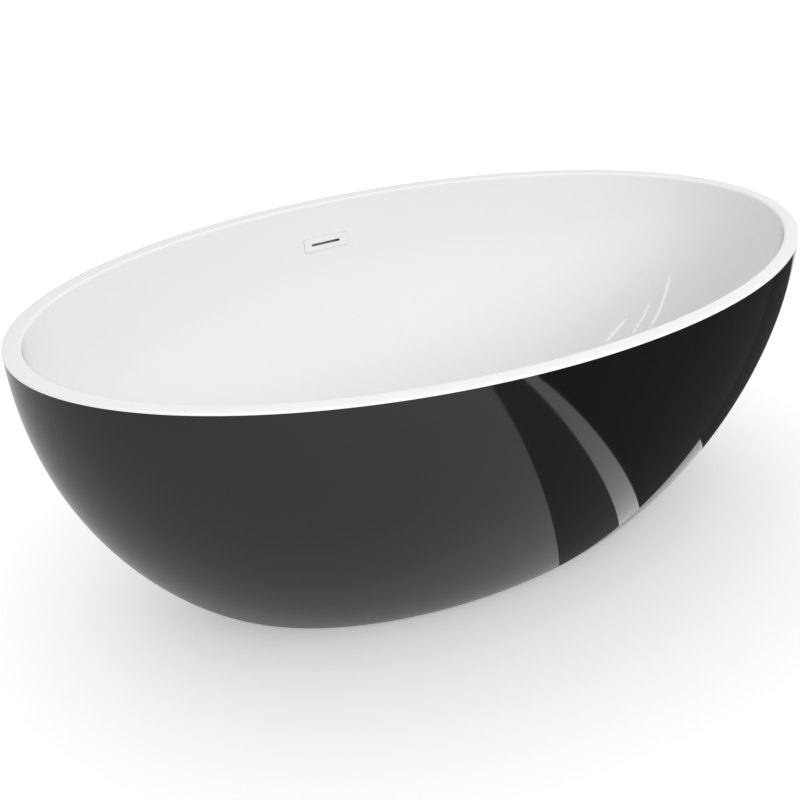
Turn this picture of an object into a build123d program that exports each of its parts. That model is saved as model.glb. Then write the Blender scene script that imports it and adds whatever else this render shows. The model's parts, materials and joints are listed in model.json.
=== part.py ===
from build123d import *
import math
import os

# A freestanding bathtub with two shells. A white basin hangs by its rim inside a black skirt, and rests on
# a board and a welded steel frame with five screw feet. Under the basin are a click-clack waste, a trap and
# an overflow. Millimetres, +Z up, +X along the length. The overflow is on the +Y side, and the origin is
# the middle of the footprint, on the floor.

os.makedirs("parts", exist_ok=True)

# Overall sizes
LENGTH = 1700.0
WIDTH = 1010.0
HEIGHT = 580.0
FLOOR_HEIGHT = 150.0  # the basin's floor above the ground
FLOOR_GAP = 6.0  # the skirt's lower edge above the ground
RUN_FIT = 0.05  # radial clearance of a shaft, thread or spigot in its hole
LOOSE_FIT = 0.5  # clearance round a piece that only drops into place
SECTIONS = 10  # ellipses that each shell is lofted through

# Skirt. A curve is (power, root): half-width = base + (rim - base) * (1 - (depth / height)^power)^(1 / root)
SKIRT_SKIN = 4.0
SKIRT_BASE_LENGTH = 1130.0
SKIRT_BASE_WIDTH = 620.0
SKIRT_CURVES = ((2.1, 1.19), (1.9, 1.15))
FLANGE_WIDTH = 30.0
FLANGE_THICKNESS = 5.0

# Basin
RIM_WIDTH = 31.0
RIM_THICKNESS = 4.0
RIM_OUTER_ROUND = 1.6
RIM_INNER_ROUND = 5.0
BASIN_SKIN = 7.0
BASIN_BASE_THICKNESS = 13.0
BASIN_FLOOR_LENGTH = 860.0
BASIN_FLOOR_WIDTH = 340.0
BASIN_CURVES = ((2.2, 1.6), (2.2, 1.6))
FALL = 6.0  # from the edge of the floor to the drain
FALL_MARGIN = 25.0  # level strip round the sloping floor
GLUE_WIDTH = 10.0
GLUE_HEIGHT = 10.0

# Board and frame
BOARD_LENGTH = 800.0
BOARD_WIDTH = 310.0
BOARD_THICKNESS = 12.0
BOARD_CORNER = 90.0
BOARD_HOLE_RADIUS = 60.0
TUBE = 30.0
TUBE_WALL = 2.0
RAIL_LENGTH = 920.0
RAIL_SPACING = 280.0  # between the centre lines of the two rails
CROSSBAR_PLACES = (-400.0, -175.0, 175.0, 400.0)
TAB_PLACES = (-300.0, -60.0, 300.0)
TAB_SIZE = 26.0
PLATE = 3.0  # thickness of tabs and brackets
BOARD_SCREW_RADIUS = 2.5
BOARD_SCREW_DEPTH = 9.0
SCREW_HEAD_HEIGHT = 3.0
BRACKET_PLACE = 420.0
BRACKET_WIDTH = 30.0
BRACKET_FOOT = 40.0
FLANGE_SCREW_RADIUS = 2.0
FLANGE_SCREW_INSET = 11.0  # from the tip of the bracket's foot
BRACKET_BOLT_RADIUS = 3.0

# Screw feet
FOOT_PLACES = ((-330.0, -1), (330.0, -1), (-330.0, 1), (330.0, 1), (175.0, 0))
STUD_RADIUS = 6.0
STUD_HEAD_ROOM = 7.0  # between the stud's top and the board
PAD_RADIUS = 22.0
PAD_HEIGHT = 12.0
PAD_SOLE = 6.0
NUT_FLATS = 19.0
WELD_NUT_HEIGHT = 10.0
LOCK_NUT_HEIGHT = 7.0
COLLAR_HEIGHT = 9.0
COLLAR_GAP = 0.4

# Waste
WASTE_RADIUS = 24.0  # thread of the waste's tube
WASTE_WALL = 3.0
WASTE_TUBE_LENGTH = 38.0
WASTE_LIP_RADIUS = 35.0
WASTE_LIP_HEIGHT = 2.5
DRAIN_HOLE_RADIUS = 26.0
WASHER_HEIGHT = 1.0
SPOKE_WIDTH = 3.0
SPOKE_HEIGHT = 6.0
SPOKE_DEPTH = 18.0  # from the drain flat down to the underside of the spokes
BOSS_WALL = 3.0
CARTRIDGE_RADIUS = 8.0
CARTRIDGE_COLLAR_HEIGHT = 2.0
CARTRIDGE_TOP = 2.0  # above its collar
CARTRIDGE_HEIGHT = 34.0
CARTRIDGE_FLOOR = 2.0
STEM_RADIUS = 5.0
STEM_GUIDE = 14.0  # how deep the stem sits in the cartridge when the plug is shut
SPRING_WIRE_RADIUS = 0.7
SPRING_TURNS = 5
SEAL_RADIUS = 26.0
SEAL_HEIGHT = 1.5
CAP_RADIUS = 31.0
CAP_HEIGHT = 4.5
LOWER_GASKET_HEIGHT = 3.0
BODY_LIP_RADIUS = 38.0
BODY_LIP_HEIGHT = 6.0
BODY_WALL = 4.0
BODY_FLOOR_DROP = 13.0  # from the overflow inlet's axis to the chamber's floor
BODY_FLOOR = 4.0
OUTLET_RADIUS = 20.0
OUTLET_BORE = 17.0
OUTLET_LENGTH = 12.0
INLET_BOSS_REACH = 38.0

# Trap: a bend that holds water, a crown, and a tail that points at the floor
TRAP_RADIUS = 17.0
TRAP_BORE = 14.5
TRAP_BEND = 20.0
TRAP_CLEARANCE = 9.0
TRAP_LEG_SPACING = 56.0
TRAP_TAIL_SPACING = 50.0
TRAP_CROWN_HEIGHT = 88.0
TRAP_SEAL_HEIGHT = 2.0
COUPLING_LIP = 3.0
COUPLING_FLOOR = 2.0
COUPLING_STEP = 2.0
COUPLING_WALL = 5.0
COUPLING_EASE = 1.5  # round a pipe that starts to bend inside its nut
COUPLING_GRIP = 11.0
TAIL_TOP = 56.0
TAIL_BOTTOM = 8.0
TAIL_RADIUS = 20.0
TAIL_HEAD_RADIUS = 22.0
TAIL_HEAD_HEIGHT = 16.0
TAIL_BORE = 15.0
TAIL_SOCKET_DEPTH = 14.0

# Overflow, in the frame of the basin's wall: x along the wall, y up the wall, z out of the wall into the bath
OVERFLOW_DEPTH = 90.0  # below the rim
COVER_LENGTH = 110.0
COVER_HEIGHT = 29.0
COVER_CORNER = 1.5
COVER_THICKNESS = 3.0
COVER_ROUND = 1.2
COVER_SINK = 0.2
SLOT_LENGTH = 74.0
SLOT_HEIGHT = 5.5
SLEEVE_LENGTH = 91.0
SLEEVE_HEIGHT = 13.0
SLEEVE_WALL = 2.0
PATCH_LENGTH = 124.0
PATCH_HEIGHT = 56.0
PATCH_DEPTH = 8.0
FOAM_HEIGHT = 1.5
HOUSING_LENGTH = 116.0
HOUSING_HEIGHT = 46.0
HOUSING_DEPTH = 15.0
HOUSING_WALL = 2.0
NECK_REACH = 62.0  # down the wall from the slot to the hose's end
NECK_DEPTH = 17.7  # the neck's axis behind the wall's face
NECK_RADIUS = 8.0
SPIGOT_LENGTH = 22.0
SPIGOT_WALL = 1.2

# Overflow hose
HOSE_RADIUS = 9.0
HOSE_BORE = 7.0
HOSE_RAIL_GAP = 6.0
HOSE_FIRST_RUN = 62.0
HOSE_HEIGHTS = (255.0, 160.0)  # here it keeps to the middle of the gap between the shells
HOSE_LOW_POINT = (250.0, 100.0)
HOSE_LEVEL_START = 140.0
CLIP_WIDTH = 6.0
CLIP_THICKNESS = 1.2
CLIP_PLACE = 8.0  # from the hose's end

# Heights that follow
skirt_top = HEIGHT - RIM_THICKNESS
basin_back_z = FLOOR_HEIGHT - BASIN_BASE_THICKNESS
drain_z = FLOOR_HEIGHT - FALL
board_z = basin_back_z - BOARD_THICKNESS
rail_z = board_z - TUBE
lip_z = drain_z + WASHER_HEIGHT
lip_top = lip_z + WASTE_LIP_HEIGHT
body_top = basin_back_z - LOWER_GASKET_HEIGHT
inlet_z = rail_z - HOSE_RAIL_GAP - HOSE_RADIUS
chamber_z = inlet_z - BODY_FLOOR_DROP
outlet_z = chamber_z - BODY_FLOOR - OUTLET_LENGTH
trap_top = outlet_z - TRAP_SEAL_HEIGHT
spoke_z = drain_z - SPOKE_DEPTH
boss_radius = CARTRIDGE_RADIUS + BOSS_WALL
collar_z = spoke_z + SPOKE_HEIGHT
cartridge_top = collar_z + CARTRIDGE_COLLAR_HEIGHT + CARTRIDGE_TOP
cartridge_floor = cartridge_top - CARTRIDGE_HEIGHT + CARTRIDGE_FLOOR
stem_z = cartridge_top - STEM_GUIDE
tail_x = TRAP_LEG_SPACING + TRAP_TAIL_SPACING
basin_depth = HEIGHT - FLOOR_HEIGHT


def half_width(depth, total, rim, base, curve):
    """Half-width at a depth below the rim, which shrinks ever faster towards the base."""
    power, root = curve
    return base + (rim - base) * max(0.0, 1 - (depth / total) ** power) ** (1 / root)


def bowl(top, bottom, rim, base, curves, lead=0.0):
    """Solid bowl through ellipses that crowd towards its base, with a straight lead above its top."""
    total = top - bottom
    sections = [Pos(0, 0, top + lead) * Ellipse(*rim)] if lead else []
    for step in range(SECTIONS + 1):
        depth = total * math.sin(step / SECTIONS * math.pi / 2)
        radii = [half_width(depth, total, *sizes) for sizes in zip(rim, base, curves)]
        sections.append(Pos(0, 0, top - depth) * Ellipse(*radii))
    return loft(sections)


def grown(radii, amount):
    return [radius + amount for radius in radii]


RIM = (LENGTH / 2, WIDTH / 2)
SKIRT_BASE = (SKIRT_BASE_LENGTH / 2, SKIRT_BASE_WIDTH / 2)
BASIN_FLOOR = (BASIN_FLOOR_LENGTH / 2, BASIN_FLOOR_WIDTH / 2)
OVER = 5.0  # how far a cutting solid runs past what it cuts


def skirt_inside():
    return bowl(skirt_top, FLOOR_GAP + FLANGE_THICKNESS, grown(RIM, -SKIRT_SKIN),
                grown(SKIRT_BASE, -SKIRT_SKIN), SKIRT_CURVES, OVER)


def ring(outer, inner, bottom, top):
    """Round tube about the Z axis."""
    disc = Circle(outer) - Circle(inner)
    return Pos(0, 0, bottom) * extrude(disc, top - bottom)


def rod(radius, bottom, top):
    """Round bar about the Z axis."""
    return Pos(0, 0, bottom) * extrude(Circle(radius), top - bottom)


def block(low, high):
    """Box between two corners."""
    size = [b - a for a, b in zip(low, high)]
    middle = [(a + b) / 2 for a, b in zip(low, high)]
    return Pos(*middle) * Box(*size)


def group(solids):
    """Separate solids kept in one node."""
    return Compound(children=list(solids))


# The wall's frame at the overflow
def wall_half_width(depth):
    return half_width(depth, basin_depth, RIM[1] - RIM_WIDTH, BASIN_FLOOR[1], BASIN_CURVES[1])


wall_lean = math.atan((wall_half_width(OVERFLOW_DEPTH - 1) - wall_half_width(OVERFLOW_DEPTH + 1)) / 2)
wall_plane = Plane(origin=(0, wall_half_width(OVERFLOW_DEPTH), HEIGHT - OVERFLOW_DEPTH), x_dir=(1, 0, 0),
                   z_dir=(0, -math.cos(wall_lean), math.sin(wall_lean)))
WALL = wall_plane.location


def plate_on_wall(length, height, back, front):
    """Plate with round ends, flat against the wall."""
    return WALL * Pos(0, 0, back) * extrude(SlotOverall(length, height), front - back)


def cover_block(length, height, corner, thickness):
    """Rectangular block on the overflow's seat."""
    return WALL * Pos(0, 0, -COVER_SINK) * extrude(RectangleRounded(length, height, corner), thickness)


def outer_shell():
    skirt = bowl(skirt_top, FLOOR_GAP, RIM, SKIRT_BASE, SKIRT_CURVES, OVER) - skirt_inside()
    skirt -= Pos(0, 0, skirt_top) * extrude(Ellipse(*grown(RIM, OVER)), 2 * OVER)
    opening = grown(SKIRT_BASE, -FLANGE_WIDTH)
    skirt -= Pos(0, 0, FLOOR_GAP - OVER) * extrude(Ellipse(*opening), FLANGE_THICKNESS + 2 * OVER)
    for x, y in flange_screw_places():
        skirt -= Pos(x, y, 0) * rod(FLANGE_SCREW_RADIUS + RUN_FIT, 0, FLOOR_GAP + FLANGE_THICKNESS + OVER)
    return skirt


def inner_shell():
    """Basin with its flat rim, a floor that falls to the drain, and a flat seat for the overflow."""
    plate = extrude(Ellipse(*RIM), RIM_THICKNESS)
    plate = fillet(plate.edges().group_by(Axis.Z)[-1], RIM_OUTER_ROUND)
    mouth = grown(RIM, -RIM_WIDTH)
    back = bowl(HEIGHT - RIM_THICKNESS / 2, basin_back_z, grown(mouth, BASIN_SKIN),
                grown(BASIN_FLOOR, BASIN_SKIN), BASIN_CURVES)
    basin = Pos(0, 0, skirt_top) * plate + back
    basin += plate_on_wall(PATCH_LENGTH, PATCH_HEIGHT, -PATCH_DEPTH, -BASIN_SKIN / 2)
    basin -= bowl(HEIGHT, FLOOR_HEIGHT, mouth, BASIN_FLOOR, BASIN_CURVES, OVER)
    slope_top = Pos(0, 0, FLOOR_HEIGHT) * Ellipse(*grown(BASIN_FLOOR, -FALL_MARGIN))
    slope_foot = Pos(0, 0, drain_z) * Circle(WASTE_LIP_RADIUS + 1)
    basin -= loft([slope_top, slope_foot])
    basin -= rod(DRAIN_HOLE_RADIUS, basin_back_z - OVER, drain_z + OVER)
    seat = grown((COVER_LENGTH, COVER_HEIGHT), 2 * LOOSE_FIT)
    basin -= cover_block(*seat, COVER_CORNER + LOOSE_FIT, OVER)
    hole = grown((SLEEVE_LENGTH, SLEEVE_HEIGHT), 2 * LOOSE_FIT)
    basin -= plate_on_wall(*hole, -PATCH_DEPTH - OVER, OVER)
    rim_edges = basin.edges().filter_by_position(Axis.Z, HEIGHT - 0.01, HEIGHT + 0.01)
    inner_edge = rim_edges.sort_by(SortBy.LENGTH)[0]
    return fillet(inner_edge, RIM_INNER_ROUND)


def rim_adhesive():
    """Bead of glue that joins the skirt's inside to the underside of the rim."""
    bead = rod(RIM[0], skirt_top - GLUE_HEIGHT, skirt_top) & skirt_inside()
    hollow = grown(RIM, -SKIRT_SKIN - GLUE_WIDTH)
    bore = extrude(Ellipse(*hollow), GLUE_HEIGHT + 2 * OVER)
    return bead - Pos(0, 0, skirt_top - GLUE_HEIGHT - OVER) * bore


def tab_places():
    """Middle of each tab, beside the inner face of its rail."""
    y = RAIL_SPACING / 2 - TUBE / 2 - TAB_SIZE / 2
    return [(x, side * y) for x in TAB_PLACES for side in (-1, 1)]


def base_board():
    outline = RectangleRounded(BOARD_LENGTH, BOARD_WIDTH, BOARD_CORNER)
    board = Pos(0, 0, board_z) * extrude(outline, BOARD_THICKNESS)
    board -= rod(BOARD_HOLE_RADIUS, board_z - OVER, basin_back_z + OVER)
    for x, y in tab_places():
        board -= Pos(x, y, board_z) * rod(BOARD_SCREW_RADIUS + RUN_FIT, -OVER, BOARD_SCREW_DEPTH)
    return board


def foot_places():
    return [(x, side * RAIL_SPACING / 2) for x, side in FOOT_PLACES]


def square_tube(length):
    """Square tube along the X axis, with its underside at z = 0."""
    section = Rectangle(TUBE, TUBE) - Rectangle(TUBE - 2 * TUBE_WALL, TUBE - 2 * TUBE_WALL)
    return Pos(-length / 2, 0, TUBE / 2) * extrude(Plane.YZ * section, length)


def stud_hole(x, y):
    return Pos(x, y, rail_z) * rod(STUD_RADIUS + LOOSE_FIT, -OVER, TUBE_WALL + OVER)


def frame_rail(side):
    y = side * RAIL_SPACING / 2
    rail = Pos(0, y, rail_z) * square_tube(RAIL_LENGTH)
    for foot_x, foot_y in foot_places():
        if foot_y == y:
            rail -= stud_hole(foot_x, foot_y)
    for x in (-BRACKET_PLACE, BRACKET_PLACE):
        hole = rod(BRACKET_BOLT_RADIUS + RUN_FIT, TUBE / 2 - TUBE_WALL - OVER, TUBE / 2 + OVER)
        rail -= Pos(x, y, rail_z + TUBE / 2) * Rot(-90 * side, 0, 0) * hole
    return rail


def frame_crossbar(x):
    length = RAIL_SPACING - TUBE
    bar = Pos(x, 0, rail_z) * Rot(0, 0, 90) * square_tube(length)
    for foot_x, foot_y in foot_places():
        if (foot_x, foot_y) == (x, 0):
            bar -= stud_hole(foot_x, foot_y)
    return bar


def frame_tabs():
    tabs = []
    for x, y in tab_places():
        half = TAB_SIZE / 2
        tab = block((x - half, y - half, board_z - PLATE), (x + half, y + half, board_z))
        hole = rod(BOARD_SCREW_RADIUS + RUN_FIT, board_z - PLATE - OVER, board_z + OVER)
        tabs.append(tab - Pos(x, y, 0) * hole)
    return group(tabs)


def screw(radius, length):
    """Round-headed screw that points up, with the underside of its head at z = 0."""
    head = rod(2 * radius, -SCREW_HEAD_HEIGHT, 0)
    head = chamfer(head.edges().group_by(Axis.Z)[0], radius / 3)
    return head + rod(radius, -SCREW_HEAD_HEIGHT / 2, length)


def board_screws():
    length = PLATE + BOARD_SCREW_DEPTH
    return group(Pos(x, y, board_z - PLATE) * screw(BOARD_SCREW_RADIUS, length) for x, y in tab_places())


def bracket_corners():
    """(sign of x, sign of y) for each bracket."""
    return [(along, side) for along in (-1, 1) for side in (-1, 1)]


def flange_screw_places():
    y = RAIL_SPACING / 2 + TUBE / 2 + BRACKET_FOOT - FLANGE_SCREW_INSET
    return [(along * BRACKET_PLACE, side * y) for along, side in bracket_corners()]


def skirt_bracket(along, side):
    """Steel angle that hangs from the rail's outer face and stands on the skirt's flange."""
    flange_top = FLOOR_GAP + FLANGE_THICKNESS
    inner = RAIL_SPACING / 2 + TUBE / 2
    half = BRACKET_WIDTH / 2
    leg = block((-half, inner, flange_top), (half, inner + PLATE, board_z))
    foot = block((-half, inner, flange_top), (half, inner + BRACKET_FOOT, flange_top + PLATE))
    bolt_hole = rod(BRACKET_BOLT_RADIUS + RUN_FIT, inner - OVER, inner + PLATE + OVER)
    bracket = leg + foot - Pos(0, 0, rail_z + TUBE / 2) * Rot(-90, 0, 0) * bolt_hole
    screw_y = inner + BRACKET_FOOT - FLANGE_SCREW_INSET
    bracket -= Pos(0, screw_y, flange_top) * rod(FLANGE_SCREW_RADIUS + RUN_FIT, -OVER, PLATE + OVER)
    placed = bracket if side > 0 else mirror(bracket, Plane.XZ)
    return Pos(along * BRACKET_PLACE, 0, 0) * placed


def bracket_bolts():
    """Bolts that hold the brackets to the rails, each pointing at the frame's middle."""
    bolts = []
    for along, side in bracket_corners():
        y = side * (RAIL_SPACING / 2 + TUBE / 2 + PLATE)
        spot = Pos(along * BRACKET_PLACE, y, rail_z + TUBE / 2) * Rot(90 * side, 0, 0)
        bolts.append(spot * screw(BRACKET_BOLT_RADIUS, PLATE + TUBE_WALL + OVER))
    return group(bolts)


def flange_screws():
    top = FLOOR_GAP + FLANGE_THICKNESS + PLATE
    length = PLATE + FLANGE_THICKNESS - 1
    return group(Pos(x, y, top) * Rot(180, 0, 0) * screw(FLANGE_SCREW_RADIUS, length)
                 for x, y in flange_screw_places())


def hexagon_nut(bottom, height):
    blank = extrude(RegularPolygon(NUT_FLATS / 2, 6, major_radius=False), height)
    return Pos(0, 0, bottom) * blank - rod(STUD_RADIUS + RUN_FIT, bottom - OVER, bottom + height + OVER)


def weld_nuts():
    return group(Pos(x, y, 0) * hexagon_nut(rail_z - WELD_NUT_HEIGHT, WELD_NUT_HEIGHT) for x, y in foot_places())


def lock_nuts():
    bottom = rail_z - WELD_NUT_HEIGHT - LOCK_NUT_HEIGHT
    return group(Pos(x, y, 0) * hexagon_nut(bottom, LOCK_NUT_HEIGHT) for x, y in foot_places())


def foot_pad(x, y):
    pad = rod(PAD_RADIUS, 0, PAD_HEIGHT)
    pad = chamfer(pad.edges().group_by(Axis.Z)[-1], PAD_HEIGHT - PAD_SOLE, 2 * (PAD_HEIGHT - PAD_SOLE))
    return Pos(x, y, 0) * (pad - rod(STUD_RADIUS + RUN_FIT, PAD_SOLE, PAD_HEIGHT + OVER))


def foot_stud(x, y):
    """Threaded stud with the hexagon that turns it."""
    collar_bottom = PAD_HEIGHT + COLLAR_GAP
    collar = extrude(RegularPolygon(NUT_FLATS / 2, 6, major_radius=False), COLLAR_HEIGHT)
    stud = rod(STUD_RADIUS, PAD_SOLE, board_z - STUD_HEAD_ROOM) + Pos(0, 0, collar_bottom) * collar
    return Pos(x, y, 0) * stud


def waste_flange():
    """Chromed lip and tube that clamp the drain, with four spokes that hold the plug's cartridge."""
    bore = WASTE_RADIUS - WASTE_WALL
    lip = ring(WASTE_LIP_RADIUS, bore, lip_z, lip_top)
    lip = fillet(lip.edges().group_by(Axis.Z)[-1].sort_by(SortBy.LENGTH)[-1], WASTE_LIP_HEIGHT / 2)
    flange = lip + ring(WASTE_RADIUS, bore, drain_z - WASTE_TUBE_LENGTH, lip_top - WASTE_LIP_HEIGHT / 2)
    for angle in (0, 90):
        bar = Box(2 * bore + WASTE_WALL, SPOKE_WIDTH, SPOKE_HEIGHT)
        flange += Rot(0, 0, 45 + angle) * Pos(0, 0, spoke_z + SPOKE_HEIGHT / 2) * bar
    flange += rod(boss_radius, spoke_z, collar_z)
    return flange - rod(CARTRIDGE_RADIUS + RUN_FIT, spoke_z - OVER, collar_z + OVER)


def plug_cartridge():
    """Cup that guides the stem and holds the spring."""
    bottom = cartridge_floor - CARTRIDGE_FLOOR
    cup = rod(CARTRIDGE_RADIUS, bottom, cartridge_top)
    cup += rod(boss_radius, collar_z, collar_z + CARTRIDGE_COLLAR_HEIGHT)
    return cup - rod(STEM_RADIUS + RUN_FIT, cartridge_floor, cartridge_top + OVER)


def plug_spring():
    low = cartridge_floor + SPRING_WIRE_RADIUS
    height = stem_z - SPRING_WIRE_RADIUS - low
    path = Helix(pitch=height / SPRING_TURNS, height=height, radius=STEM_RADIUS - 2 * SPRING_WIRE_RADIUS)
    section = Plane(origin=path @ 0, z_dir=path % 0) * Circle(SPRING_WIRE_RADIUS)
    return Pos(0, 0, low) * sweep(section, path)


def plug_stem():
    return rod(STEM_RADIUS, stem_z, lip_top + SEAL_HEIGHT)


def plug_seal():
    return ring(SEAL_RADIUS, STEM_RADIUS, lip_top, lip_top + SEAL_HEIGHT)


def plug_cap():
    bottom = lip_top + SEAL_HEIGHT
    cap = rod(CAP_RADIUS, bottom, bottom + CAP_HEIGHT)
    return fillet(cap.edges().group_by(Axis.Z)[-1], CAP_HEIGHT / 2)


def waste_washer():
    return ring(WASTE_LIP_RADIUS - 1, DRAIN_HOLE_RADIUS + LOOSE_FIT, drain_z, lip_z)


def waste_gasket():
    return ring(BODY_LIP_RADIUS, DRAIN_HOLE_RADIUS + LOOSE_FIT, body_top, basin_back_z)


def waste_body():
    """Chamber under the drain: the waste's tube screws into its top, and the overflow enters its side."""
    bore = WASTE_RADIUS + RUN_FIT
    wall = bore + BODY_WALL
    body = rod(wall, chamber_z - BODY_FLOOR, body_top)
    body += rod(BODY_LIP_RADIUS, body_top - BODY_LIP_HEIGHT, body_top)
    body += rod(OUTLET_RADIUS, outlet_z, chamber_z)
    inlet = Pos(0, 0, inlet_z) * Rot(-90, 0, 0)
    body += inlet * rod(NECK_RADIUS, 0, INLET_BOSS_REACH)
    body += inlet * rod(HOSE_BORE - RUN_FIT, 0, INLET_BOSS_REACH + SPIGOT_LENGTH)
    body -= inlet * rod(HOSE_BORE - RUN_FIT - SPIGOT_WALL, 0, INLET_BOSS_REACH + SPIGOT_LENGTH + OVER)
    body -= rod(bore, chamber_z, body_top + OVER)
    return body - rod(OUTLET_BORE, outlet_z - OVER, body_top)


def coupling_nut(x, top_radius, top, lip_radius, lip_top_z, tube_radius):
    """Union nut: it screws on the pipe above and draws up the lip of the pipe below."""
    bottom = lip_top_z - COUPLING_LIP - COUPLING_FLOOR
    nut = ring(lip_radius + COUPLING_WALL, top_radius + RUN_FIT, bottom, top)
    nut -= rod(lip_radius + RUN_FIT, lip_top_z - COUPLING_LIP, lip_top_z + TRAP_SEAL_HEIGHT)
    nut -= rod(tube_radius + COUPLING_EASE, bottom - OVER, lip_top_z)
    return Pos(x, 0, 0) * nut


def trap_path():
    bottom = TRAP_CLEARANCE + TRAP_RADIUS
    corners = [(0, bottom), (TRAP_LEG_SPACING, bottom), (TRAP_LEG_SPACING, TRAP_CROWN_HEIGHT),
               (tail_x, TRAP_CROWN_HEIGHT)]
    route = [(0, trap_top)] + corners + [(tail_x, TAIL_TOP - TAIL_SOCKET_DEPTH)]
    return FilletPolyline(*[(x, 0, z) for x, z in route], radius=[TRAP_BEND] * len(corners))


def pipe(path, outer, inner):
    """Hollow pipe along a path."""
    start = Plane(origin=path @ 0, z_dir=path % 0)
    return sweep(start * (Circle(outer) - Circle(inner)), path)


def trap_bend():
    """Water-holding bend, with the lip that the union nut draws against its seal."""
    bend = pipe(trap_path(), TRAP_RADIUS, TRAP_BORE)
    lip = ring(OUTLET_RADIUS + COUPLING_STEP, TRAP_BORE, trap_top - COUPLING_LIP, trap_top)
    return bend + lip


def trap_seal():
    return ring(OUTLET_RADIUS, TRAP_BORE, trap_top, outlet_z)


def trap_nut():
    lip = OUTLET_RADIUS + COUPLING_STEP
    return coupling_nut(0, OUTLET_RADIUS, outlet_z + COUPLING_GRIP, lip, trap_top, TRAP_RADIUS)


def waste_tail():
    """Tail that stands in the floor drain, with a socket for the end of the bend."""
    tail = ring(TAIL_RADIUS, TAIL_BORE, TAIL_BOTTOM, TAIL_TOP)
    tail += ring(TAIL_HEAD_RADIUS, TAIL_BORE, TAIL_TOP - TAIL_HEAD_HEIGHT, TAIL_TOP)
    tail -= rod(TRAP_RADIUS + RUN_FIT, TAIL_TOP - TAIL_SOCKET_DEPTH, TAIL_TOP + OVER)
    return Pos(tail_x, 0, 0) * tail


def tail_nut():
    """Compression nut that grips the bend in the tail's socket."""
    step = TAIL_TOP + TRAP_SEAL_HEIGHT
    bottom = TAIL_TOP - COUPLING_GRIP
    nut = ring(TAIL_HEAD_RADIUS + COUPLING_WALL, TRAP_RADIUS + RUN_FIT, bottom, step + COUPLING_FLOOR)
    return Pos(tail_x, 0, 0) * (nut - rod(TAIL_HEAD_RADIUS + RUN_FIT, bottom - OVER, step))


def tail_seal():
    return Pos(tail_x, 0, 0) * ring(TAIL_HEAD_RADIUS, TRAP_RADIUS, TAIL_TOP, TAIL_TOP + TRAP_SEAL_HEIGHT)


def overflow_cover():
    """Slotted plate with a sleeve at its back that pushes through the wall into the housing."""
    plate = cover_block(COVER_LENGTH, COVER_HEIGHT, COVER_CORNER, COVER_THICKNESS)
    face = plate.faces().sort_by(Axis(wall_plane.origin, wall_plane.z_dir))[-1]
    cover = fillet(face.edges(), COVER_ROUND)
    sleeve_back = -PATCH_DEPTH - FOAM_HEIGHT - HOUSING_WALL
    sleeve = plate_on_wall(SLEEVE_LENGTH, SLEEVE_HEIGHT, sleeve_back, -COVER_SINK)
    inside = grown((SLEEVE_LENGTH, SLEEVE_HEIGHT), -2 * SLEEVE_WALL)
    cover += sleeve - plate_on_wall(*inside, sleeve_back - OVER, OVER)
    return cover - plate_on_wall(SLOT_LENGTH, SLOT_HEIGHT, -COVER_SINK - 1, COVER_THICKNESS + OVER)


def overflow_gasket():
    hole = grown((SLEEVE_LENGTH, SLEEVE_HEIGHT), 2 * LOOSE_FIT)
    foam = plate_on_wall(HOUSING_LENGTH, HOUSING_HEIGHT, -PATCH_DEPTH - FOAM_HEIGHT, -PATCH_DEPTH)
    return foam - plate_on_wall(*hole, -PATCH_DEPTH - FOAM_HEIGHT - OVER, 0)


def down_the_wall(radius, start, end):
    """Round bar behind the wall, from one distance below the slot to another."""
    return WALL * Pos(0, 0, -NECK_DEPTH) * Rot(90, 0, 0) * rod(radius, start, end)


def overflow_housing():
    """Flat box behind the wall that catches the water and leads it to the hose."""
    front = -PATCH_DEPTH - FOAM_HEIGHT
    back = front - HOUSING_DEPTH
    spigot_end = NECK_REACH + SPIGOT_LENGTH
    inside = grown((HOUSING_LENGTH, HOUSING_HEIGHT), -2 * HOUSING_WALL)
    socket = grown((SLEEVE_LENGTH, SLEEVE_HEIGHT), 2 * RUN_FIT)
    housing = plate_on_wall(HOUSING_LENGTH, HOUSING_HEIGHT, back, front)
    housing += down_the_wall(NECK_RADIUS, 0, NECK_REACH)
    housing += down_the_wall(HOSE_BORE - RUN_FIT, 0, spigot_end)
    housing -= plate_on_wall(*inside, back + HOUSING_WALL, front - HOUSING_WALL)
    housing -= down_the_wall(HOSE_BORE - RUN_FIT - SPIGOT_WALL, 0, spigot_end + OVER)
    return housing - plate_on_wall(*socket, front - HOUSING_WALL - OVER, OVER)


def gap_middle(z):
    """Half-width of the line midway between the two shells, at a height."""
    skirt = half_width(skirt_top - z, skirt_top - FLOOR_GAP, RIM[1], SKIRT_BASE[1], SKIRT_CURVES[1]) - SKIRT_SKIN
    basin = half_width(HEIGHT - z, HEIGHT - basin_back_z, RIM[1] - RIM_WIDTH + BASIN_SKIN,
                       BASIN_FLOOR[1] + BASIN_SKIN, BASIN_CURVES[1])
    return (skirt + basin) / 2


def hose_points():
    top = WALL * Pos(0, -NECK_REACH, -NECK_DEPTH)
    first = WALL * Pos(0, -NECK_REACH - HOSE_FIRST_RUN, -NECK_DEPTH)
    low_y, low_z = HOSE_LOW_POINT
    return ([top.position, first.position]
            + [Vector(0, gap_middle(z), z) for z in HOSE_HEIGHTS]
            + [Vector(0, low_y, low_z), Vector(0, HOSE_LEVEL_START, inlet_z), Vector(0, INLET_BOSS_REACH, inlet_z)])


def hose_radii(points):
    """Each arc is as large as the runs beside it allow."""
    runs = [after - before for before, after in zip(points, points[1:])]
    radii = []
    for run, following in zip(runs, runs[1:]):
        half_turn = math.radians(run.get_angle(following)) / 2
        radii.append(0.45 * min(run.length, following.length) / math.tan(half_turn))
    return radii


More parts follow.
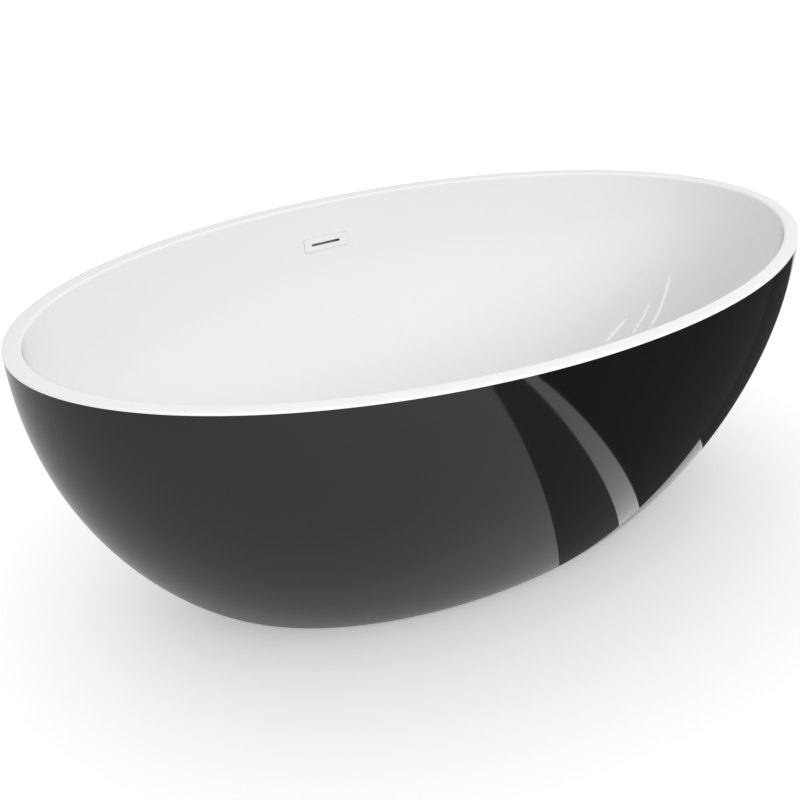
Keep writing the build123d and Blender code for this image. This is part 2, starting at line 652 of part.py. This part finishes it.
def overflow_hose():
    points = hose_points()
    radii = hose_radii(points)
    path = FilletPolyline(*points, radius=radii)
    hose = pipe(path, HOSE_RADIUS, HOSE_BORE)
    section = math.pi * (HOSE_RADIUS ** 2 - HOSE_BORE ** 2)
    print("hose radii", [round(radius) for radius in radii], "length", round(path.length, 1))
    print("hose volume over section times length", round(hose.volume / (section * path.length), 4))
    return hose


def clip_band():
    return ring(HOSE_RADIUS + RUN_FIT + CLIP_THICKNESS, HOSE_RADIUS + RUN_FIT, 0, CLIP_WIDTH)


def hose_clips():
    """Spring bands over the two ends of the hose."""
    at_top = WALL * Pos(0, -NECK_REACH - CLIP_PLACE, -NECK_DEPTH) * Rot(90, 0, 0) * clip_band()
    at_waste = Pos(0, INLET_BOSS_REACH + CLIP_PLACE, inlet_z) * Rot(-90, 0, 0) * clip_band()
    return group([at_top, at_waste])


pieces = {
    "outer_shell": outer_shell(),
    "inner_shell": inner_shell(),
    "rim_adhesive": rim_adhesive(),
    "base_board": base_board(),
    "frame_tabs": frame_tabs(),
    "board_screws": board_screws(),
    "bracket_bolts": bracket_bolts(),
    "flange_screws": flange_screws(),
    "weld_nuts": weld_nuts(),
    "lock_nuts": lock_nuts(),
    "waste_flange": waste_flange(),
    "waste_washer": waste_washer(),
    "waste_gasket": waste_gasket(),
    "waste_body": waste_body(),
    "plug_cartridge": plug_cartridge(),
    "plug_spring": plug_spring(),
    "plug_stem": plug_stem(),
    "plug_seal": plug_seal(),
    "plug_cap": plug_cap(),
    "trap_seal": trap_seal(),
    "trap_nut": trap_nut(),
    "trap_bend": trap_bend(),
    "tail_seal": tail_seal(),
    "tail_nut": tail_nut(),
    "waste_tail": waste_tail(),
    "overflow_cover": overflow_cover(),
    "overflow_gasket": overflow_gasket(),
    "overflow_housing": overflow_housing(),
    "overflow_hose": overflow_hose(),
    "hose_clips": hose_clips(),
}
for side, name in ((-1, "near"), (1, "far")):
    pieces[f"frame_rail_{name}"] = frame_rail(side)
for number, x in enumerate(CROSSBAR_PLACES, 1):
    pieces[f"frame_crossbar_{number}"] = frame_crossbar(x)
for number, (along, side) in enumerate(bracket_corners(), 1):
    pieces[f"skirt_bracket_{number}"] = skirt_bracket(along, side)
for number, (x, y) in enumerate(foot_places(), 1):
    pieces[f"foot_{number}_pad"] = foot_pad(x, y)
    pieces[f"foot_{number}_stud"] = foot_stud(x, y)
for node, shape in pieces.items():
    export_step(shape, f"parts/{node}.step")
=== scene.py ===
import json
import math

import bpy
import numpy as np
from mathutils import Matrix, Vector


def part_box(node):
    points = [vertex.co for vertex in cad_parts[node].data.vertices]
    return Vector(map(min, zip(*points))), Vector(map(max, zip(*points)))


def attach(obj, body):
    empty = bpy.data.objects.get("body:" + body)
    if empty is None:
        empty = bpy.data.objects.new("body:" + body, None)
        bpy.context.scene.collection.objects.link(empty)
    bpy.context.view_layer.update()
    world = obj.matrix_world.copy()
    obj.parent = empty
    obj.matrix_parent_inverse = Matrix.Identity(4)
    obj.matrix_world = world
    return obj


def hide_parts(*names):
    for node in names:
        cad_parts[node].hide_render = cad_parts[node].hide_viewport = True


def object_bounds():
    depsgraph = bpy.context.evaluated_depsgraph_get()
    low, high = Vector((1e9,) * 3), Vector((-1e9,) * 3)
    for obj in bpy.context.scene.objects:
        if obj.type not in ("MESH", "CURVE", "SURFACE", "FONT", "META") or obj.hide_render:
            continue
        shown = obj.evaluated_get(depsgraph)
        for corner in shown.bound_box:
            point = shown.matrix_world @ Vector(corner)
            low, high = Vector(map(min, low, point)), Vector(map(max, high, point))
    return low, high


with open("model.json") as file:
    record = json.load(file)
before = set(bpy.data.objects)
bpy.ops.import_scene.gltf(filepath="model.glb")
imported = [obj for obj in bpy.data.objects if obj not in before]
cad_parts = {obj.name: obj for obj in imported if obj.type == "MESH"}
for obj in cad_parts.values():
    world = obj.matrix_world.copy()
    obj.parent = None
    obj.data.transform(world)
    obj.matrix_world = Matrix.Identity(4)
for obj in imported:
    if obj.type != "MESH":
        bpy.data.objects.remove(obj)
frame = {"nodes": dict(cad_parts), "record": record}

# A freestanding bathtub with a white basin and a black skirt, in metres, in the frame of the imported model.
# The two shells and the threaded studs are surfaces made here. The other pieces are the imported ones, each
# with a finish of its own.

cad_low, cad_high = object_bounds()
nodes = frame["nodes"]
MM = 0.001


# ---------------------------------------------------------------- finishes
class Flow:
    """A shader socket that can be written in sums."""

    def __init__(self, finish, socket):
        self.finish = finish
        self.socket = socket

    def join(self, operation, first, second):
        return self.finish.node("ShaderNodeMath", {0: first, 1: second}, operation=operation)

    def __add__(self, other):
        return self.join("ADD", self, other)

    def __mul__(self, other):
        return self.join("MULTIPLY", self, other)

    def __sub__(self, other):
        return self.join("SUBTRACT", self, other)

    def __rsub__(self, other):
        return self.join("SUBTRACT", other, self)

    __radd__ = __add__
    __rmul__ = __mul__


class Finish:
    """One procedural material, made of a principled shader and the nodes that vary it."""

    def __init__(self, name, colour, roughness, metallic=0.0, coat=0.0, coat_roughness=0.03, ior=1.5):
        self.material = bpy.data.materials.new(name)
        self.material.use_nodes = True
        self.material.diffuse_color = (*colour, 1.0)
        self.tree = self.material.node_tree
        self.shader = self.tree.nodes["Principled BSDF"]
        self.colour = colour
        settings = {"Base Color": (*colour, 1.0), "Roughness": roughness, "Metallic": metallic, "IOR": ior,
                    "Coat Weight": coat, "Coat Roughness": coat_roughness}
        for setting, value in settings.items():
            self.shader.inputs[setting].default_value = value
        self.place = self.node("ShaderNodeTexCoord", output="Object")

    def node(self, kind, inputs=None, output=0, stops=None, **settings):
        """Adds a node: its settings first, then the values or links of its sockets. Gives one output."""
        node = self.tree.nodes.new(kind)
        for name, value in settings.items():
            setattr(node, name, value)
        for place, value in (stops or {}).items():
            stop = node.color_ramp.elements.new(place)
            stop.color = (value, value, value, 1.0)
        if stops:
            node.color_ramp.elements.remove(node.color_ramp.elements[0])
            node.color_ramp.elements.remove(node.color_ramp.elements[-1])
        for name, value in (inputs or {}).items():
            if isinstance(value, Flow):
                self.tree.links.new(value.socket, node.inputs[name])
            else:
                node.inputs[name].default_value = value
        return Flow(self, node.outputs[output])

    def noise(self, scale, detail=3.0, stretch=(1.0, 1.0, 1.0)):
        """Cloudy value about 0.5, with its grain stretched along each axis."""
        stretched = self.node("ShaderNodeMapping", {"Vector": self.place, "Scale": stretch})
        return self.node("ShaderNodeTexNoise", {"Vector": stretched, "Scale": scale, "Detail": detail})

    def between(self, value, low, high):
        """A 0 to 1 value carried to the range from low to high."""
        return low + value * (high - low)

    def tint(self, factor, other):
        """Base colour that goes from the finish's own to another one with the factor."""
        mixed = self.node("ShaderNodeMix", {0: factor, 6: (*self.colour, 1.0), 7: (*other, 1.0)},
                          output=2, data_type="RGBA")
        self.feed("Base Color", mixed)

    def feed(self, name, flow):
        self.tree.links.new(flow.socket, self.shader.inputs[name])

    def bump(self, height, distance, strength=1.0):
        normal = self.node("ShaderNodeBump", {"Height": height, "Distance": distance, "Strength": strength})
        self.feed("Normal", normal)


def white_acrylic():
    """Cast sheet: a milky white with a deep gloss and the faint waviness that forming leaves."""
    finish = Finish("white acrylic", (0.765, 0.765, 0.762), 0.10, coat=0.6, coat_roughness=0.04)
    finish.tint(finish.noise(5.0, 4.0), (0.745, 0.745, 0.743))
    finish.feed("Roughness", finish.between(finish.noise(22.0, 5.0), 0.07, 0.15))
    finish.bump(finish.noise(7.0, 2.0), 0.35 * MM, 0.5)
    return finish.material


def black_acrylic():
    """Black gloss sheet with a trace of haze where it has been wiped."""
    finish = Finish("black acrylic", (0.0030, 0.0031, 0.0033), 0.05, ior=1.45)
    finish.tint(finish.noise(3.0, 5.0), (0.0045, 0.0046, 0.0050))
    finish.feed("Roughness", finish.between(finish.noise(14.0, 6.0), 0.03, 0.085))
    finish.bump(finish.noise(5.0, 1.0), 0.20 * MM, 0.35)
    return finish.material


def white_plastic():
    finish = Finish("white plastic", (0.78, 0.78, 0.775), 0.22, coat=0.2)
    finish.tint(finish.noise(40.0, 3.0), (0.74, 0.74, 0.735))
    finish.feed("Roughness", finish.between(finish.noise(160.0, 3.0), 0.17, 0.28))
    finish.bump(finish.noise(900.0, 2.0), 0.02 * MM, 0.4)
    return finish.material


def moulded_plastic(name, colour, worn, roughness):
    """Plumbing plastic, with a fine spark texture from its mould."""
    finish = Finish(name, colour, roughness)
    finish.tint(finish.noise(30.0, 4.0), worn)
    finish.feed("Roughness", finish.between(finish.noise(120.0, 4.0), roughness - 0.08, roughness + 0.1))
    finish.bump(finish.noise(700.0, 2.0), 0.05 * MM, 0.5)
    return finish.material


def metal(name, colour, worn, roughness, spread, brushed=(1.0, 1.0, 1.0), grain=260.0):
    """Bare or plated metal whose tone and gloss change along its grain."""
    finish = Finish(name, colour, roughness, metallic=1.0)
    finish.tint(finish.noise(grain, 4.0, brushed), worn)
    streaks = finish.noise(grain, 5.0, brushed)
    finish.feed("Roughness", finish.between(streaks, roughness - spread, roughness + spread))
    finish.bump(finish.noise(grain * 2, 3.0, brushed), 0.03 * MM, 0.4)
    return finish.material


def powder_coat():
    """Black baked powder with its orange-peel skin."""
    finish = Finish("black powder coat", (0.018, 0.018, 0.019), 0.42)
    finish.tint(finish.noise(18.0, 5.0), (0.03, 0.03, 0.031))
    finish.feed("Roughness", finish.between(finish.noise(60.0, 4.0), 0.34, 0.55))
    finish.bump(finish.noise(520.0, 2.0), 0.12 * MM, 0.6)
    return finish.material


def rubber():
    finish = Finish("black rubber", (0.022, 0.022, 0.022), 0.72)
    finish.tint(finish.noise(45.0, 5.0), (0.05, 0.049, 0.047))
    finish.feed("Roughness", finish.between(finish.noise(80.0, 4.0), 0.62, 0.85))
    finish.bump(finish.noise(480.0, 3.0), 0.08 * MM, 0.6)
    return finish.material


def glue():
    finish = Finish("glue", (0.66, 0.655, 0.63), 0.55)
    finish.tint(finish.noise(25.0, 5.0), (0.58, 0.57, 0.53))
    finish.feed("Roughness", finish.between(finish.noise(40.0, 4.0), 0.4, 0.7))
    finish.bump(finish.noise(90.0, 4.0), 0.6 * MM, 0.8)
    return finish.material


def plywood():
    """Birch board: long grain on its faces, and veneers that take turns up its edge."""
    finish = Finish("plywood", (0.56, 0.41, 0.25), 0.65)
    grain = finish.noise(9.0, 8.0, (1.0, 14.0, 14.0))
    height = finish.node("ShaderNodeSeparateXYZ", {"Vector": finish.place}, output="Z")
    veneer = finish.node("ShaderNodeMath", {0: height * (1 / (2.4 * MM)), 1: 1.0}, operation="PINGPONG")
    edge = finish.node("ShaderNodeValToRGB", {"Fac": veneer}, stops={0.25: 0.0, 0.45: 1.0})
    finish.tint(grain * 0.6 + edge * 0.4, (0.34, 0.21, 0.11))
    finish.feed("Roughness", finish.between(grain, 0.5, 0.8))
    finish.bump(grain, 0.3 * MM, 0.6)
    return finish.material


FINISHES = {
    "white_acrylic": white_acrylic(),
    "black_acrylic": black_acrylic(),
    "white_plastic": white_plastic(),
    "glue": glue(),
    "plywood": plywood(),
    "black_steel": powder_coat(),
    "zinc_steel": metal("zinc plate", (0.62, 0.63, 0.63), (0.47, 0.48, 0.47), 0.34, 0.10),
    "black_rubber": rubber(),
    "chrome": metal("chrome", (0.82, 0.82, 0.83), (0.78, 0.78, 0.80), 0.07, 0.03, grain=60.0),
    "brass": metal("brass", (0.70, 0.52, 0.25), (0.58, 0.41, 0.18), 0.28, 0.10, (1.0, 1.0, 8.0)),
    "spring_steel": metal("spring wire", (0.55, 0.56, 0.58), (0.40, 0.41, 0.43), 0.30, 0.08),
    "grey_plastic": moulded_plastic("pipe plastic", (0.50, 0.51, 0.52), (0.44, 0.45, 0.46), 0.42),
    "hose_plastic": moulded_plastic("hose plastic", (0.36, 0.37, 0.39), (0.30, 0.31, 0.33), 0.50),
}


def give_finish(piece, slot_name):
    piece.data.materials.clear()
    piece.data.materials.append(FINISHES[slot_name])


# ---------------------------------------------------------------- surfaces
def surface(name, points, slot_name, body, replaced, closed_along=True):
    """Mesh through a grid of points, indexed [row, around, xyz]. Each row closes on itself, and with
    closed_along the last row joins the first. Otherwise the first and last rows are closed by faces."""
    rows, around = points.shape[:2]
    steps = rows if closed_along else rows - 1
    row = np.arange(steps)[:, None]
    column = np.arange(around)[None, :]
    after_row, after_column = (row + 1) % rows, (column + 1) % around
    corners = [row * around + column, row * around + after_column,
               after_row * around + after_column, after_row * around + column]
    faces = np.stack(np.broadcast_arrays(*corners), axis=-1).reshape(-1, 4).tolist()
    if not closed_along:
        faces += [list(range(around))[::-1], list(range((rows - 1) * around, rows * around))]
    mesh = bpy.data.meshes.new(name)
    mesh.from_pydata(points.reshape(-1, 3), [], faces)
    mesh.shade_smooth()
    mesh.set_sharp_from_angle(angle=math.radians(40))
    piece = bpy.data.objects.new(name, mesh)
    bpy.context.scene.collection.objects.link(piece)
    give_finish(piece, slot_name)
    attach(piece, body)
    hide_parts(replaced)
    return piece


def turned_ellipses(profile, around):
    """Grid for a shell: each profile row (half-length, half-width, height) becomes an ellipse, taken
    clockwise seen from above, so that a profile that runs down its outside faces outwards."""
    angle = -np.linspace(0, 2 * np.pi, around, endpoint=False)
    half_length, half_width, height = profile[:, 0, None], profile[:, 1, None], profile[:, 2, None]
    flat = np.ones_like(angle)
    return np.stack([half_length * np.cos(angle), half_width * np.sin(angle), height * flat], axis=-1)


def bowl_rows(top, bottom, rim, base, curves, count):
    """Rows down a bowl: half-width = base + (rim - base) * (1 - (depth / height)^power)^(1 / root), at
    depths that follow a sine so that they crowd where the bowl turns under."""
    share = np.sin(np.linspace(0, np.pi / 2, count))
    sizes = [low + (high - low) * (1 - share ** power) ** (1 / root)
             for high, low, (power, root) in zip(rim, base, curves)]
    return np.stack([*sizes, top - (top - bottom) * share], axis=-1)


def straight_rows(start, end, count):
    """Rows evenly spaced between two rows, both included."""
    share = np.linspace(0, 1, count)[:, None]
    return np.asarray(start) * (1 - share) + np.asarray(end) * share


def rounded_rows(rim, z, radius, start_turn, end_turn, count=7):
    """Rows round an edge of the given radius, whose centre is at half-widths rim and height z."""
    turn = np.linspace(start_turn, end_turn, count)
    reach = radius * np.cos(turn)
    return np.stack([rim[0] + reach, rim[1] + reach, z + radius * np.sin(turn)], axis=-1)


AROUND = 400
SKIRT_CURVES = ((2.1, 1.19), (1.9, 1.15))
SKIRT_BASE = np.array([565.0, 310.0]) * MM
SKIRT_SKIN = 4.0 * MM
FLANGE_WIDTH = 30.0 * MM
FLANGE_THICKNESS = 5.0 * MM
BASIN_CURVES = ((2.2, 1.6), (2.2, 1.6))
BASIN_FLOOR = np.array([430.0, 170.0]) * MM
BASIN_FLOOR_HEIGHT = 150.0 * MM
BASIN_SKIN = 7.0 * MM
RIM_WIDTH = 31.0 * MM
RIM_OUTER_ROUND = 1.6 * MM
RIM_INNER_ROUND = 5.0 * MM
FALL = 6.0 * MM
FALL_MARGIN = 25.0 * MM
DRAIN_FLAT = 36.0 * MM
DRAIN_HOLE = 26.0 * MM

skirt_low, skirt_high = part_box("outer_shell")
basin_low, basin_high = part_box("inner_shell")
rim = np.array([basin_high.x, basin_high.y])
mouth = rim - RIM_WIDTH


def make_skirt():
    """Outer wall, turned in to a flange at its foot, and the inner wall back up."""
    top, bottom = skirt_high.z, skirt_low.z
    inner_bottom = bottom + FLANGE_THICKNESS
    outside = bowl_rows(top, bottom, rim, SKIRT_BASE, SKIRT_CURVES, 110)
    opening = SKIRT_BASE - FLANGE_WIDTH
    inside = bowl_rows(top, inner_bottom, rim - SKIRT_SKIN, SKIRT_BASE - SKIRT_SKIN, SKIRT_CURVES, 50)[::-1]
    flange_outer = SKIRT_BASE - MM
    underside = straight_rows([*flange_outer, bottom], [*opening, bottom], 4)
    upper_side = straight_rows([*opening, inner_bottom], [*(flange_outer - SKIRT_SKIN), inner_bottom], 4)
    profile = np.concatenate([outside, underside, upper_side, inside])
    return surface("skirt", turned_ellipses(profile, AROUND), "black_acrylic", "tub", "outer_shell")


def make_basin():
    """Rim, basin and its back: from the rim's outer lip over the top, down the inside, through the drain
    and up the back to the underside of the rim."""
    top, bottom = basin_high.z, basin_low.z
    underside = skirt_high.z
    drain_z = BASIN_FLOOR_HEIGHT - FALL
    lip = rounded_rows(rim - RIM_OUTER_ROUND, top - RIM_OUTER_ROUND, RIM_OUTER_ROUND, 0, np.pi / 2)
    edge = rounded_rows(mouth + RIM_INNER_ROUND, top - RIM_INNER_ROUND, RIM_INNER_ROUND, np.pi / 2, np.pi, 10)
    inside = bowl_rows(top, BASIN_FLOOR_HEIGHT, mouth, BASIN_FLOOR, BASIN_CURVES, 130)
    inside = inside[inside[:, 2] < top - 1.4 * RIM_INNER_ROUND]
    slope_top = [*(BASIN_FLOOR - FALL_MARGIN), BASIN_FLOOR_HEIGHT]
    slope = straight_rows(slope_top, [DRAIN_FLAT, DRAIN_FLAT, drain_z], 12)
    drain = straight_rows([DRAIN_HOLE, DRAIN_HOLE, drain_z], [DRAIN_HOLE, DRAIN_HOLE, bottom], 2)
    back_floor = BASIN_FLOOR + BASIN_SKIN
    back = bowl_rows(top - 2 * MM, bottom, mouth + BASIN_SKIN, back_floor, BASIN_CURVES, 40)[::-1]
    back = back[back[:, 2] < underside]
    join = np.array([[*(mouth + BASIN_SKIN), underside], [*rim, underside]])
    profile = np.concatenate([lip, edge, inside, slope, drain, back, join])
    return surface("basin", turned_ellipses(profile, AROUND)[:, ::-1], "white_acrylic", "tub", "inner_shell")


def rounded_plug(length, height, corner, back, front, place, around=96):
    """Prism from back to front whose outline is a rectangle with a quarter circle of the given radius at
    each corner, in the frame of the basin's wall."""
    turn = (np.arange(around) + 0.5) * 2 * np.pi / around
    x = np.sign(np.cos(turn)) * (length / 2 - corner) + corner * np.cos(turn)
    y = np.sign(np.sin(turn)) * (height / 2 - corner) + corner * np.sin(turn)
    rows = [np.stack([x, y, np.full_like(x, depth), np.ones_like(x)], axis=-1) for depth in (back, front)]
    points = np.stack(rows) @ np.array(place).T
    mesh = bpy.data.meshes.new("cutter")
    bottom, top = list(range(around)), list(range(around, 2 * around))
    sides = [[k, (k + 1) % around, around + (k + 1) % around, around + k] for k in range(around)]
    mesh.from_pydata(points[..., :3].reshape(-1, 3), [], [bottom[::-1], top] + sides)
    cutter = bpy.data.objects.new("cutter", mesh)
    bpy.context.scene.collection.objects.link(cutter)
    return cutter


OVERFLOW_DEPTH = 90.0 * MM
COVER_SEAT = (111 * MM, 30 * MM, 2 * MM)  # length, height and corner
SLEEVE_HOLE = (92 * MM, 14 * MM, 6.99 * MM)
SEAT_DEPTH = 0.2 * MM
HOLE_DEPTH = 16 * MM  # past the thickened wall behind the cover
CUT_FRONT = 6 * MM


def wall_frame():
    """Matrix of the frame on the basin's far wall: x along it, y up it, z out of it into the bath."""
    depth = basin_high.z - BASIN_FLOOR_HEIGHT
    power, root = BASIN_CURVES[1]

    def half_width(below):
        return BASIN_FLOOR[1] + (mouth[1] - BASIN_FLOOR[1]) * (1 - (below / depth) ** power) ** (1 / root)

    lean = math.atan((half_width(OVERFLOW_DEPTH - MM) - half_width(OVERFLOW_DEPTH + MM)) / (2 * MM))
    sine, cosine = math.sin(lean), math.cos(lean)
    return np.array([[1, 0, 0, 0], [0, sine, -cosine, half_width(OVERFLOW_DEPTH)],
                     [0, cosine, sine, basin_high.z - OVERFLOW_DEPTH], [0, 0, 0, 1]])


def cut_overflow(basin):
    """Seat for the cover, and the hole that its sleeve goes through."""
    place = wall_frame()
    cutters = [rounded_plug(*COVER_SEAT, -SEAT_DEPTH, CUT_FRONT, place),
               rounded_plug(*SLEEVE_HOLE, -HOLE_DEPTH, CUT_FRONT, place)]
    for cutter in cutters:
        cut = basin.modifiers.new("cut", "BOOLEAN")
        cut.operation = "DIFFERENCE"
        cut.solver = "EXACT"
        cut.object = cutter
    bpy.context.view_layer.update()
    evaluated = basin.evaluated_get(bpy.context.evaluated_depsgraph_get())
    mesh = bpy.data.meshes.new_from_object(evaluated)
    basin.modifiers.clear()
    basin.data = mesh
    for cutter in cutters:
        bpy.data.objects.remove(cutter)


STUD_RADIUS = 6.0 * MM
STUD_PITCH = 1.75 * MM
STUD_AROUND = 48
THREAD_DEPTH = 0.95 * MM
STUD_SHANK = 22.0 * MM  # the height above which the stud is threaded
COLLAR_BOTTOM = 12.4 * MM
COLLAR_TOP = 21.4 * MM
COLLAR_CHAMFER = 0.8 * MM


def make_stud(number):
    """Threaded stud: radius = outer - depth * (1 - |2 * fraction(z / pitch - turn) - 1|), in a single start
    that winds up the rod, above a hexagonal collar."""
    node = f"foot_{number}_stud"
    low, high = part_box(node)
    centre = (low + high) / 2
    heights = np.arange(STUD_SHANK, high.z - MM, STUD_PITCH / 6)
    turn = np.linspace(0, 2 * np.pi, STUD_AROUND, endpoint=False)
    phase = heights[:, None] / STUD_PITCH - turn[None, :] / (2 * np.pi)
    thread = STUD_RADIUS - THREAD_DEPTH * (1 - np.abs(2 * (phase - np.floor(phase)) - 1))
    hexagon = (high.y - low.y) / 2 / np.cos((turn + np.pi / 6) % (np.pi / 3) - np.pi / 6)
    plain = np.full(STUD_AROUND, STUD_RADIUS)
    foot = [(plain * 0.85, low.z), (plain, low.z + MM)]
    collar = [(plain, COLLAR_BOTTOM),
              (hexagon - COLLAR_CHAMFER, COLLAR_BOTTOM),
              (hexagon, COLLAR_BOTTOM + COLLAR_CHAMFER),
              (hexagon, COLLAR_TOP - COLLAR_CHAMFER),
              (hexagon - COLLAR_CHAMFER, COLLAR_TOP),
              (plain, COLLAR_TOP)]
    tip = [(plain * 0.8, high.z)]
    rows = foot + collar + list(zip(thread, heights)) + tip
    radii = np.array([row[0] for row in rows])
    levels = np.array([row[1] for row in rows])[:, None] * np.ones(STUD_AROUND)
    points = np.stack([centre.x + radii * np.cos(turn), centre.y + radii * np.sin(turn), levels], axis=-1)
    return surface(f"threaded_stud_{number}", points, "zinc_steel", node, node, closed_along=False)


for node, piece in nodes.items():
    slot_name = next(part["material_slot"] for part in frame["record"]["subparts"] if part["node"] == node)
    give_finish(piece, slot_name)

make_skirt()
cut_overflow(make_basin())
for number in range(1, 6):
    make_stud(number)


# ---------------------------------------------------------------- studio
CARD_HEIGHT = 2 * MM  # above the floor
CARD_EDGE = -0.31  # front edge of the strip of floor under the bath
STRIP_HEIGHT = 2.5


def stage_plane(name, low, high, z, colour, glow):
    """Matt level rectangle between two corners, with a glow of its own."""
    mesh = bpy.data.meshes.new(name)
    mesh.from_pydata([(low[0], low[1], z), (high[0], low[1], z), (high[0], high[1], z), (low[0], high[1], z)],
                     [], [(0, 1, 2, 3)])
    plane = bpy.data.objects.new(name, mesh)
    bpy.context.scene.collection.objects.link(plane)
    finish = Finish(name, colour, 0.8)
    finish.tint(finish.noise(0.8, 2.0), tuple(0.985 * part for part in colour))
    finish.shader.inputs["Specular IOR Level"].default_value = 0.0
    finish.shader.inputs["Emission Color"].default_value = (1.0, 1.0, 1.0, 1.0)
    finish.shader.inputs["Emission Strength"].default_value = glow
    plane.data.materials.append(finish.material)
    return plane


def gloss_card(name, low, high, grey, glow=0.0):
    """Card that lies beside the bath and shows only in the bath's gloss."""
    card = stage_plane(name, low, high, CARD_HEIGHT, (grey, grey, grey), glow)
    card.visible_camera = False
    card.visible_diffuse = False
    card.visible_shadow = False


def hang_lamp(name, place, length, width, power):
    """Rectangular lamp at a place, facing down."""
    light = bpy.data.lights.new(name, "AREA")
    light.shape = "RECTANGLE"
    light.size, light.size_y = length, width
    light.energy = power
    lamp = bpy.data.objects.new(name, light)
    lamp.location = place
    bpy.context.scene.collection.objects.link(lamp)
    return lamp


def strip_lamp(name, start, end, width, power):
    """Narrow lamp that hangs over a line between two points and shines down."""
    start, end = Vector((*start, STRIP_HEIGHT)), Vector((*end, STRIP_HEIGHT))
    lamp = hang_lamp(name, (start + end) / 2, (end - start).length, width, power)
    lamp.rotation_euler = (0, 0, math.atan2(end.y - start.y, end.x - start.x))


def key_lamp(floor):
    """Soft wide lamp at the front that lights the bath and not the floor, so it throws no shadow there."""
    place = Vector((0.1, -2.7, 2.1))
    lamp = hang_lamp("key", place, 3.4, 1.2, 60.0)
    lamp.rotation_euler = (Vector((0, 0, 0.45)) - place).to_track_quat("-Z", "Y").to_euler()
    lamp.visible_glossy = False
    unlit = bpy.data.collections.new("unlit by the key")
    unlit.objects.link(floor)
    unlit.collection_objects[0].light_linking.link_state = "EXCLUDE"
    lamp.light_linking.receiver_collection = unlit


def make_studio():
    """White floor and white surround, a key, cards that the skirt mirrors, and three strips over the bath."""
    floor = stage_plane("floor", (-30, -30), (30, 30), 0.0, (0.95, 0.95, 0.95), 0.34)
    gloss_card("left card", (-20.0, -12.0), (0.055, 12.0), 0.86)
    gloss_card("back card", (0.055, 0.30), (20.0, 12.0), 0.86)
    gloss_card("narrow card", (0.055, -12.0), (0.25, CARD_EDGE), 0.18)
    gloss_card("bright card", (0.25, -12.0), (0.33, CARD_EDGE), 0.9, 0.42)
    gloss_card("wide card", (0.33, -12.0), (20.0, CARD_EDGE), 0.085)
    gloss_card("end card", (0.66, CARD_EDGE), (20.0, 0.30), 0.06)
    world = bpy.data.worlds.new("studio")
    world.use_nodes = True
    background = world.node_tree.nodes["Background"]
    background.inputs["Color"].default_value = (1.0, 1.0, 1.0, 1.0)
    background.inputs["Strength"].default_value = 0.84
    bpy.context.scene.world = world
    key_lamp(floor)
    strip_lamp("long strip", (-2.0, 0.25), (-0.2, 0.80), 0.035, 1.6)
    strip_lamp("middle strip", (-0.75, 0.22), (0.0, 0.47), 0.03, 0.45)
    strip_lamp("short strip", (-0.2, 0.0), (0.3, 0.17), 0.03, 0.3)
    bpy.context.scene.view_settings.view_transform = "Standard"


def make_camera():
    """Camera at the left front, above the rim, looking down across the bath."""
    azimuth, elevation, tilt = (math.radians(angle) for angle in (-36.6, 19.57, 31.45))
    distance = 2.232
    camera = bpy.data.cameras.new("camera")
    camera.lens = 50.5
    camera.sensor_width = 36.0
    camera.shift_x, camera.shift_y = -0.060, 0.121
    holder = bpy.data.objects.new("camera", camera)
    rim_centre = Vector((0, 0, cad_high.z))
    back = Vector((math.sin(azimuth) * math.cos(elevation), -math.cos(azimuth) * math.cos(elevation),
                   math.sin(elevation)))
    look = Vector((-math.sin(azimuth) * math.cos(tilt), math.cos(azimuth) * math.cos(tilt), -math.sin(tilt)))
    holder.location = rim_centre + back * distance
    holder.rotation_euler = look.to_track_quat("-Z", "Y").to_euler()
    bpy.context.scene.collection.objects.link(holder)
    bpy.context.scene.camera = holder


make_studio()
make_camera()
